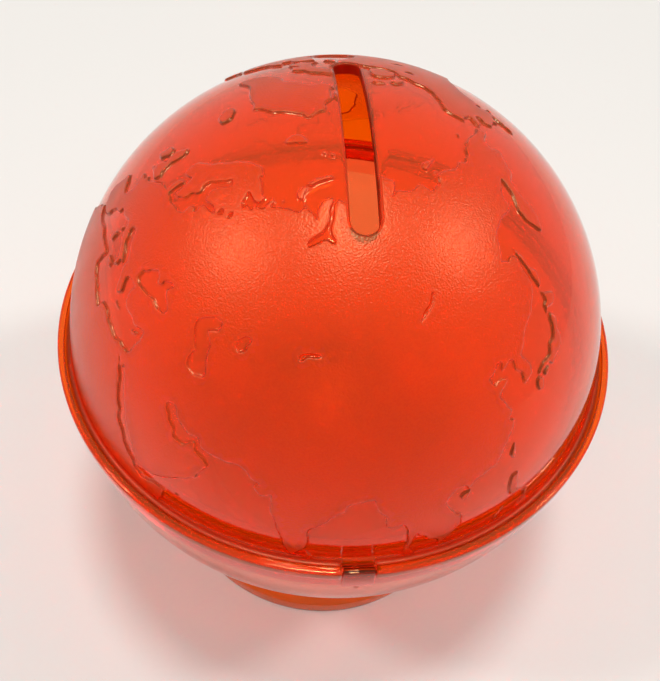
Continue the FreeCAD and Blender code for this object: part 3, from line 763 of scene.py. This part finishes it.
def mark_crisp(mesh, rings):
    """Mark the edges that run round the axis at given radii and heights as sharp."""
    count = len(mesh.vertices)
    place = np.empty(count * 3, np.float32)
    mesh.vertices.foreach_get("co", place)
    place = place.reshape(-1, 3) / MM
    around = np.hypot(place[:, 0], place[:, 1])
    on_ring = np.zeros(count, int)
    for number, (radius, height) in enumerate(rings, start=1):
        hit = (np.abs(around - radius) < 0.01) & (np.abs(place[:, 2] - SEAM - height) < 0.01)
        on_ring[hit] = number
    ends = np.empty(len(mesh.edges) * 2, np.int32)
    mesh.edges.foreach_get("vertices", ends)
    ends = on_ring[ends.reshape(-1, 2)]
    crisp = (ends[:, 0] > 0) & (ends[:, 0] == ends[:, 1])
    flags = mesh.attributes.get("sharp_edge") or mesh.attributes.new("sharp_edge", "BOOLEAN", "EDGE")
    flags.data.foreach_set("value", crisp)
    return int(crisp.sum())


print("crisp edges on the dome:", mark_crisp(globe_dome.data, CRISP_RADII))

# %% [markdown]
# ## The bowl and the foot
# Both are turned shapes: half a section spun about the upright axis. The Screw modifier could do it, but
# a tree with named inputs also closes the seam and the poles, and serves both pieces.

# %% The turning tree
turning, turning_in, turning_out = new_tree("turned_section", [
    ("Section", "NodeSocketObject"), ("Steps around", "NodeSocketInt"), ("Material", "NodeSocketMaterial")])
section_info = add_node(turning, "GeometryNodeObjectInfo", [("Object", turning_in.outputs["Section"])])
section_geometry = section_info.outputs["Geometry"]
section_size = add_node(turning, "GeometryNodeAttributeDomainSize", [(0, section_geometry)], component="MESH")
row_count = section_size.outputs["Point Count"]
steps_around = turning_in.outputs["Steps around"]
column_count = calculate(turning, "ADD", steps_around, 1.0)
grid = add_node(turning, "GeometryNodeMeshGrid", [("Vertices X", column_count), ("Vertices Y", row_count)])
index = add_node(turning, "GeometryNodeInputIndex").outputs[0]
column = calculate(turning, "FLOOR", calculate(turning, "DIVIDE", index, row_count))
row = calculate(turning, "SUBTRACT", index, calculate(turning, "MULTIPLY", column, row_count))
section_place = add_node(turning, "GeometryNodeInputPosition")
picked = add_node(turning, "GeometryNodeSampleIndex", [
    ("Geometry", section_geometry), ("Index", row)], data_type="FLOAT_VECTOR", domain="POINT")
turning.links.new(section_place.outputs[0], picked.inputs["Value"])
around_share = calculate(turning, "DIVIDE", column, steps_around)
around_angle = calculate(turning, "MULTIPLY", around_share, 2 * math.pi)
turned_place = add_node(turning, "ShaderNodeVectorRotate", [
    ("Vector", picked.outputs[0]), ("Angle", around_angle)], rotation_type="Z_AXIS")
turned = add_node(turning, "GeometryNodeSetPosition", [
    ("Geometry", grid.outputs["Mesh"]), ("Position", turned_place.outputs[0])])
closed = add_node(turning, "GeometryNodeMergeByDistance", [
    ("Geometry", turned.outputs[0]), ("Distance", 1e-7)])
turned_smooth = add_node(turning, "GeometryNodeSetShadeSmooth", [("Geometry", closed.outputs[0])])
close_tree(turning, turned_smooth.outputs[0], turning_in.outputs["Material"], turning_out)
print("turning tree:", len(turning.nodes), "nodes")

# %% Turn a section into a piece
CRISP_ANGLE = math.radians(32)


def turn_piece(name, section, steps, material):
    """Turn a section of radius and height pairs in millimetres into a closed piece."""
    outline = bpy.data.meshes.new(name + "_section")
    outline.from_pydata([(r * MM, 0.0, z * MM) for r, z in section], [], [])
    holder = bpy.data.objects.new(name + "_section", outline)
    bpy.context.scene.collection.objects.link(holder)
    piece = run_tree(name, turning, {"Section": holder, "Steps around": steps, "Material": material})
    bpy.data.objects.remove(holder)
    bpy.data.meshes.remove(outline)
    work = bmesh.new()
    work.from_mesh(piece.data)
    bmesh.ops.dissolve_degenerate(work, edges=work.edges, dist=1e-7)
    bmesh.ops.recalc_face_normals(work, faces=work.faces)
    open_edges = sum(1 for edge in work.edges if len(edge.link_faces) != 2)
    work.to_mesh(piece.data)
    work.free()
    piece.data.set_sharp_from_angle(angle=CRISP_ANGLE)
    print(name, "faces:", len(piece.data.polygons), "open edges:", open_edges)
    return piece


print("edges over", round(math.degrees(CRISP_ANGLE)), "degrees stay crisp")

# %% The bowl's section
BOWL_RADIUS = 51.8
BOWL_INNER = 49.8
SPIGOT_RADIUS = 47.7
SPIGOT_INNER = 46.2
SPIGOT_TOP = SEAM + 3.6
SEAT_HEIGHT = SEAM - 0.06
SEAT_ROUNDING = 0.4
BOWL_NECK = SEAM - 3.0
BOWL_SLOPE = SEAM - 6.0
slope_angle = math.degrees(math.asin((BOWL_SLOPE - SEAM) / BOWL_INNER))
bowl_section = (
    arc(0, SEAM, BOWL_RADIUS, -90, -0.6, 90)
    + arc(BOWL_RADIUS - SEAT_ROUNDING, SEAT_HEIGHT - SEAT_ROUNDING, SEAT_ROUNDING, 8, 90, 4)
    + [(SPIGOT_RADIUS + 0.1, SEAT_HEIGHT), (SPIGOT_RADIUS, SEAT_HEIGHT + 0.1),
       (SPIGOT_RADIUS, SPIGOT_TOP - 0.4), (SPIGOT_RADIUS - 0.4, SPIGOT_TOP)]
    + arc(SPIGOT_INNER + 0.3, SPIGOT_TOP - 0.3, 0.3, 90, 180, 3)
    + [(SPIGOT_INNER, BOWL_NECK + 0.4), (SPIGOT_INNER + 0.08, BOWL_NECK - 0.1)]
    + arc(0, SEAM, BOWL_INNER, slope_angle, -90, 84)
)
globe_bowl = turn_piece("globe_bowl", bowl_section, 256, bowl_plastic)

# %% [markdown]
# ## The lug
# One lug stands up from the bowl and fills the notch in the dome's rim, so that the dome always goes on the
# same way round. It is moulded in one with the bowl, so a Boolean union joins a softly bevelled block to it.

# %% Helpers for joining a solid to a piece


def moulded_solid(name, build):
    """A closed solid in the bowl's plastic, made by a function that fills a bmesh."""
    mesh = bpy.data.meshes.new(name)
    work = bmesh.new()
    build(work)
    bmesh.ops.recalc_face_normals(work, faces=work.faces)
    work.to_mesh(mesh)
    work.free()
    mesh.materials.append(bowl_plastic)
    solid = bpy.data.objects.new(name, mesh)
    bpy.context.scene.collection.objects.link(solid)
    return solid


def join_solid(piece, solid):
    """Unite a solid with a piece and remove the solid."""
    union = piece.modifiers.new("union", "BOOLEAN")
    union.operation = "UNION"
    union.solver = "EXACT"
    union.object = solid
    depsgraph = bpy.context.evaluated_depsgraph_get()
    joined = bpy.data.meshes.new_from_object(piece.evaluated_get(depsgraph))
    piece.modifiers.clear()
    piece.data = joined
    bpy.data.objects.remove(solid)


print("union helpers ready")

# %% The lug and its pip
LUG_HALF = 2.6
LUG_FRONT = -52.4
LUG_BACK = -51.2
LUG_LOW = SEAM - 3.2
LUG_TOP = SEAM + RIM_THICKNESS
LUG_BEVEL = 0.25
PIP_RADIUS = 0.5
PIP_HEIGHT = SEAM - 4.4
PIP_RISE = 0.4
PIP_ROOT = 0.6


def build_lug(work):
    """A softly bevelled block between the lug's front and back."""
    size = Vector((2 * LUG_HALF, LUG_BACK - LUG_FRONT, LUG_TOP - LUG_LOW)) * MM
    middle = Vector((0, (LUG_BACK + LUG_FRONT) / 2, (LUG_TOP + LUG_LOW) / 2)) * MM
    bmesh.ops.create_cube(work, size=1.0, matrix=Matrix.Translation(middle) @ Matrix.Diagonal((*size, 1)))
    bmesh.ops.bevel(work, geom=list(work.edges), offset=LUG_BEVEL * MM, segments=3, profile=0.5,
                    affect="EDGES")


def build_pip(work):
    """A short tapered pin that stands out of the bowl below the lug."""
    surface = math.sqrt(BOWL_RADIUS ** 2 - (PIP_HEIGHT - SEAM) ** 2)
    middle = Vector((0, -(surface + (PIP_RISE - PIP_ROOT) / 2), PIP_HEIGHT)) * MM
    place = Matrix.Translation(middle) @ Matrix.Rotation(math.radians(90), 4, "X")
    bmesh.ops.create_cone(work, cap_ends=True, segments=24, radius1=PIP_RADIUS * MM,
                          radius2=0.75 * PIP_RADIUS * MM, depth=(PIP_ROOT + PIP_RISE) * MM, matrix=place)


join_solid(globe_bowl, moulded_solid("lug", build_lug))
join_solid(globe_bowl, moulded_solid("pip", build_pip))
globe_bowl.data.name = "globe_bowl"
globe_bowl.data.set_sharp_from_angle(angle=CRISP_ANGLE)
# The lug above the seam gets a painted dark shade.
across, along, up = np.array([vertex.co for vertex in globe_bowl.data.vertices]).T / MM
on_lug = (np.abs(across) < LUG_HALF + 0.01) & (along < LUG_BACK + 0.01) & (up > SEAM)
thick = globe_bowl.data.attributes.new("thick", "FLOAT", "POINT")
thick.data.foreach_set("value", on_lug.astype(np.float32))
print("globe_bowl with lug:", len(globe_bowl.data.polygons), "faces, slots", len(globe_bowl.data.materials))

# %% The foot
FOOT_RADIUS = 34.0
FOOT_INNER = 31.6
FOOT_EDGE = 4.0
FOOT_HEIGHT = 22.0
FOOT_LIP = 2.4
SEAT_RADIUS = BOWL_RADIUS + 0.05
neck_radius = math.sqrt(SEAT_RADIUS ** 2 - (SEAM - FOOT_HEIGHT) ** 2)
seat_start = math.degrees(math.atan2(FOOT_HEIGHT - SEAM, neck_radius))
seat_end = -math.degrees(math.acos((neck_radius - 3.0) / SEAT_RADIUS))
foot_section = (
    [(FOOT_INNER + 0.3, 0.0)]
    + arc(FOOT_RADIUS - 0.5, 0.5, 0.5, -90, 0, 4)
    + arc(FOOT_RADIUS - 1.2, FOOT_EDGE - 0.6, 1.2, 0, 42, 6)
    + [(neck_radius + 0.25, FOOT_HEIGHT - 0.4), (neck_radius + 0.02, FOOT_HEIGHT - 0.12)]
    + arc(0, SEAM, SEAT_RADIUS, seat_start - 0.2, seat_end, 5)
    + [(FOOT_INNER - 0.3, FOOT_LIP + 0.2), (FOOT_INNER, FOOT_LIP - 0.3), (FOOT_INNER, 0.3),
       (FOOT_INNER + 0.3, 0.0)]
)
globe_foot = turn_piece("globe_foot", foot_section, 192, foot_plastic)

# %% [markdown]
# ## Tinted plastic
# See-through plastic takes its colour from the light it soaks up on the way through, so the walls get deeper
# in colour where they are seen at a slant. A surface colour alone can't do that: the shader is mostly clear,
# with an absorbing volume inside the closed walls. The sea is polished and the land is spark-eroded in the
# mould, so the land is rough, with a fine grain that sparkles under a lamp. A highlight is painted along the
# top edge of each coast and a shade down its slope, and the slot's walls are matt, as they come off the tool,
# with a painted shade on them and in the groove above the rim.

# %% Nodes that all three plastics share
# The gleam is warm, because part of the light in it comes back from just under the surface.
REFRACTION = 1.47
GLEAM = (1.0, 0.8, 0.44, 1.0)


def plastic_base(material, tint, clear, soak, density):
    """A see-through shader with an absorbing volume. Returns the tree, the shader and the place node."""
    material.use_nodes = True
    tree = material.node_tree
    tree.nodes.clear()
    output = tree.nodes.new("ShaderNodeOutputMaterial")
    shader = add_node(tree, "ShaderNodeBsdfPrincipled", [
        ("Transmission Weight", clear), ("IOR", REFRACTION), ("Base Color", (*tint, 1.0)),
        ("Specular Tint", GLEAM)])
    volume = add_node(tree, "ShaderNodeVolumeAbsorption", [("Color", (*soak, 1.0)), ("Density", density)])
    tree.links.new(shader.outputs[0], output.inputs["Surface"])
    tree.links.new(volume.outputs[0], output.inputs["Volume"])
    place = tree.nodes.new("ShaderNodeTexCoord")
    return tree, shader, place.outputs["Object"]


def blotches(tree, place, scale, detail=2.0):
    """Soft noise at a scale in cells per metre."""
    noise = add_node(tree, "ShaderNodeTexNoise", [("Vector", place), ("Scale", scale), ("Detail", detail)])
    return noise.outputs["Fac"]


def spread(tree, value, low, high, out_low, out_high):
    """Map a range of a value to another range, clamped."""
    node = add_node(tree, "ShaderNodeMapRange", [
        ("Value", value), ("From Min", low), ("From Max", high), ("To Min", out_low), ("To Max", out_high)])
    return node.outputs[0]


def colour_between(tree, share, colour_a, colour_b):
    """A colour between two, each a fixed colour or a socket, by a share."""
    colours = [c if isinstance(c, bpy.types.NodeSocket) else (*c, 1.0) for c in (colour_a, colour_b)]
    ends = [("Factor", share), (6, colours[0]), (7, colours[1])]
    return add_node(tree, "ShaderNodeMix", ends, data_type="RGBA").outputs[2]


def share_of(tree, label):
    """One of the shares that the points of a piece keep."""
    return add_node(tree, "ShaderNodeAttribute", attribute_name=label).outputs["Fac"]


def fine_scratches(tree, place, turn):
    """Long thin scratches in one direction, as a height."""
    mapping = add_node(tree, "ShaderNodeMapping", [
        ("Vector", place), ("Rotation", turn), ("Scale", (60.0, 2600.0, 2600.0))])
    noise = add_node(tree, "ShaderNodeTexNoise", [
        ("Vector", mapping.outputs[0]), ("Scale", 1.0), ("Detail", 1.0)])
    return spread(tree, noise.outputs["Fac"], 0.62, 0.72, 0.0, 1.0)


print("shared nodes ready")

# %% The dome's plastic: frosted land, polished sea
GRAIN_SCALE = 3200.0
GRAIN_DEPTH = 0.00008
SCRATCH_DEPTH = 0.00005
SCRATCH_STRENGTH = 0.06
FROST_ROUGHNESS = (0.285, 0.34)
POLISH_ROUGHNESS = (0.03, 0.10)
CUT_ROUGHNESS = 0.55
DOME_TINT = (1.0, 0.17, 0.0)
SMUDGE_TINT = (1.0, 0.21, 0.0)
SPECK_TINT = (0.8, 0.07, 0.0)
EDGE_HIGHLIGHT_TINT = (1.0, 0.34, 0.06)
PAINTED_SHADE_TINT = (0.45, 0.03, 0.0)
SPECK_SHARE = 0.2
EDGE_HIGHLIGHT_SHARE = 0.4
tree, shader, place = plastic_base(dome_plastic, DOME_TINT, clear=0.88, soak=(1.0, 0.2, 0.0), density=300.0)
land = share_of(tree, "land")
edge = share_of(tree, "edge")
cut = share_of(tree, "cut")
smudge = blotches(tree, place, 70.0)
frost = spread(tree, blotches(tree, place, 240.0), 0.3, 0.7, *FROST_ROUGHNESS)
polish = spread(tree, smudge, 0.45, 0.75, *POLISH_ROUGHNESS)
rough_gap = calculate(tree, "SUBTRACT", frost, polish)
rough = calculate(tree, "ADD", polish, calculate(tree, "MULTIPLY", rough_gap, land))
matt = calculate(tree, "MULTIPLY", cut, CUT_ROUGHNESS)
tree.links.new(calculate(tree, "MAXIMUM", rough, matt), shader.inputs["Roughness"])
fine = blotches(tree, place, GRAIN_SCALE, 1.0)
specks = calculate(tree, "MULTIPLY", spread(tree, fine, 0.4, 0.62, 0.0, 1.0), land)
colour = colour_between(tree, smudge, DOME_TINT, SMUDGE_TINT)
colour = colour_between(tree, calculate(tree, "MULTIPLY", specks, SPECK_SHARE), colour, SPECK_TINT)
# A highlight is painted along the top edge of the coasts.
colour = colour_between(tree, calculate(tree, "MULTIPLY", edge, EDGE_HIGHLIGHT_SHARE), colour, EDGE_HIGHLIGHT_TINT)
# A shade is painted on the slot's walls, in the groove above the rim and down each coast's slope.
tree.links.new(colour_between(tree, cut, colour, PAINTED_SHADE_TINT), shader.inputs["Base Color"])
grain = calculate(tree, "MULTIPLY", fine, land)
grain_bump = add_node(tree, "ShaderNodeBump", [
    ("Height", grain), ("Strength", 1.0), ("Distance", GRAIN_DEPTH)])
scratch = fine_scratches(tree, place, (0.3, 0.9, 0.5))
scratch_bump = add_node(tree, "ShaderNodeBump", [
    ("Height", scratch), ("Strength", SCRATCH_STRENGTH), ("Distance", SCRATCH_DEPTH),
    ("Normal", grain_bump.outputs[0])])
tree.links.new(scratch_bump.outputs[0], shader.inputs["Normal"])
print("dome plastic:", len(tree.nodes), "nodes")

# %% The bowl's and the foot's plastic: polished, with handling marks


def polished_plastic(material, tint_a, tint_b, clear, soak, density, lug_shade_tint=None):
    """Polished tinted plastic with smudges and fine scratches, and a painted shade where the points are
    marked.
    """
    tree, shader, place = plastic_base(material, tint_a, clear, soak, density)
    smudge = blotches(tree, place, 65.0)
    tree.links.new(spread(tree, smudge, 0.45, 0.75, 0.025, 0.09), shader.inputs["Roughness"])
    colour = colour_between(tree, smudge, tint_a, tint_b)
    if lug_shade_tint:
        colour = colour_between(tree, share_of(tree, "thick"), colour, lug_shade_tint)
    tree.links.new(colour, shader.inputs["Base Color"])
    marks = fine_scratches(tree, place, (0.8, 0.2, 1.1))
    bump = add_node(tree, "ShaderNodeBump", [
        ("Height", marks), ("Strength", SCRATCH_STRENGTH), ("Distance", SCRATCH_DEPTH)])
    tree.links.new(bump.outputs[0], shader.inputs["Normal"])
    print(material.name, len(tree.nodes), "nodes")


# The bowl's lug gets a painted dark shade.
polished_plastic(
    bowl_plastic, (1.0, 0.22, 0.06), (1.0, 0.26, 0.09), clear=0.87, soak=(1.0, 0.35, 0.1), density=180.0,
    lug_shade_tint=(0.2, 0.01, 0.0))
polished_plastic(
    foot_plastic, (1.0, 0.13, 0.0), (1.0, 0.16, 0.005), clear=0.35, soak=(1.0, 0.16, 0.0), density=100.0)

# %% [markdown]
# ## Which body each piece moves with
# The dome rides on the body that lifts, and the bowl and the foot on the base. Each piece stands for its
# plain solid, which is then hidden.

# %% Ride and replace
for piece, body, node, slot in (
    (globe_dome, "dome", "upper_dome", "dome_plastic"),
    (globe_bowl, "base", "lower_bowl", "bowl_plastic"),
    (globe_foot, "base", "foot_ring", "foot_plastic"),
):
    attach(piece, body)
    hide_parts(node)
    print(piece.name, "rides on", body, "for", node, "with", len(piece.data.polygons), "faces")

# %% [markdown]
# ## Table, light and camera
# The money box stands on plain pale paper under three soft ceiling lamps in a row. The room around it looks
# evenly pale to the camera, in the gloss and through the plastic, and otherwise gives a little more light
# from above than from the sides. The camera looks down at the front from close by.

# %% Paper
PAPER_SIZE = 0.95
PAPER_GREY = (0.71, 0.715, 0.715)
PAPER_WHITE = (0.745, 0.745, 0.74)
bpy.ops.mesh.primitive_plane_add(size=PAPER_SIZE, location=(0, 0, 0))
paper = bpy.context.object
paper.name = "paper"
paper_coat = bpy.data.materials.new("paper")
paper_coat.use_nodes = True
paper_tree = paper_coat.node_tree
paper_shader = paper_tree.nodes["Principled BSDF"]
paper_place = paper_tree.nodes.new("ShaderNodeTexCoord").outputs["Object"]
paper_cloud = blotches(paper_tree, paper_place, 9.0)
paper_colour = colour_between(paper_tree, paper_cloud, PAPER_GREY, PAPER_WHITE)
paper_tree.links.new(paper_colour, paper_shader.inputs["Base Color"])
paper_shader.inputs["Roughness"].default_value = 0.8
paper.data.materials.append(paper_coat)
print("paper:", PAPER_SIZE, "m wide")

# %% Room light and lamps
LAMP_HEIGHT = 1.1
LAMP_SPREAD = 0.83
LAMP_SIZE = 0.22
LAMP_POWER = 5.3
WARM_WHITE = (1.0, 0.96, 0.91)
ROOM_PALE = 0.72
ROOM_FROM_SIDES = 0.26
ROOM_FROM_ABOVE = 0.5
room = bpy.data.worlds.new("room")
bpy.context.scene.world = room
room.use_nodes = True
room_light = room.node_tree.nodes["Background"]
room_light.inputs["Color"].default_value = (*WARM_WHITE, 1.0)
room_way = room.node_tree.nodes.new("ShaderNodeTexCoord").outputs["Generated"]
room_up = add_node(room.node_tree, "ShaderNodeSeparateXYZ", [(0, room_way)]).outputs["Z"]
room_dim = spread(room.node_tree, room_up, 0.0, 0.95, ROOM_FROM_SIDES, ROOM_FROM_ABOVE)
room_path = room.node_tree.nodes.new("ShaderNodeLightPath")
room_rays = room_path.outputs["Is Camera Ray"]
for ray in ("Is Glossy Ray", "Is Transmission Ray"):
    room_rays = calculate(room.node_tree, "MAXIMUM", room_rays, room_path.outputs[ray])
room_seen = calculate(room.node_tree, "MULTIPLY", room_rays, ROOM_PALE)
room_strength = calculate(room.node_tree, "MAXIMUM", room_dim, room_seen)
room.node_tree.links.new(room_strength, room_light.inputs["Strength"])
for number, side in enumerate((-1, 0, 1)):
    lamp_data = bpy.data.lights.new(f"ceiling_lamp_{number}", "AREA")
    lamp_data.shape = "DISK"
    lamp_data.size = LAMP_SIZE
    lamp_data.energy = LAMP_POWER
    lamp_data.color = WARM_WHITE
    lamp = bpy.data.objects.new(lamp_data.name, lamp_data)
    lamp.location = (side * LAMP_SPREAD * LAMP_HEIGHT, 0.0, LAMP_HEIGHT)
    lamp.rotation_euler = (-lamp.location).to_track_quat("-Z", "Y").to_euler()
    bpy.context.scene.collection.objects.link(lamp)
print("lamps at", LAMP_HEIGHT, "m")

# %% Camera
CAMERA_AZIMUTH = math.radians(-8.8)
CAMERA_ELEVATION = math.radians(52.0)
CAMERA_DISTANCE = 0.180
CAMERA_ROLL = math.radians(5.7)
CAMERA_LENS = 50.3
LIGHT_BOUNCES = 16
AIM_RIGHT = -0.0008
AIM_UP = -0.0036
globe_middle = Vector((0, 0, SEAM * MM))
toward_camera = Vector((
    math.cos(CAMERA_ELEVATION) * math.sin(CAMERA_AZIMUTH),
    -math.cos(CAMERA_ELEVATION) * math.cos(CAMERA_AZIMUTH),
    math.sin(CAMERA_ELEVATION)))
camera_data = bpy.data.cameras.new("photo_camera")
camera_data.sensor_fit = "HORIZONTAL"
camera_data.sensor_width = 36.0
camera_data.lens = CAMERA_LENS
camera_data.clip_start = 0.005
camera = bpy.data.objects.new("photo_camera", camera_data)
bpy.context.scene.collection.objects.link(camera)
level = toward_camera.to_track_quat("Z", "Y").to_matrix()
camera_place = globe_middle + toward_camera * CAMERA_DISTANCE
aim = globe_middle + level @ Vector((AIM_RIGHT, AIM_UP, 0))
turned_view = (camera_place - aim).to_track_quat("Z", "Y").to_matrix() @ Matrix.Rotation(CAMERA_ROLL, 3, "Z")
camera.location = camera_place
camera.rotation_euler = turned_view.to_euler()
scene = bpy.context.scene
scene.camera = camera
scene.view_settings.view_transform = "Standard"
scene.cycles.max_bounces = LIGHT_BOUNCES
scene.cycles.transmission_bounces = LIGHT_BOUNCES
scene.cycles.blur_glossy = 0.0
print("camera at", tuple(round(c, 4) for c in camera_place))
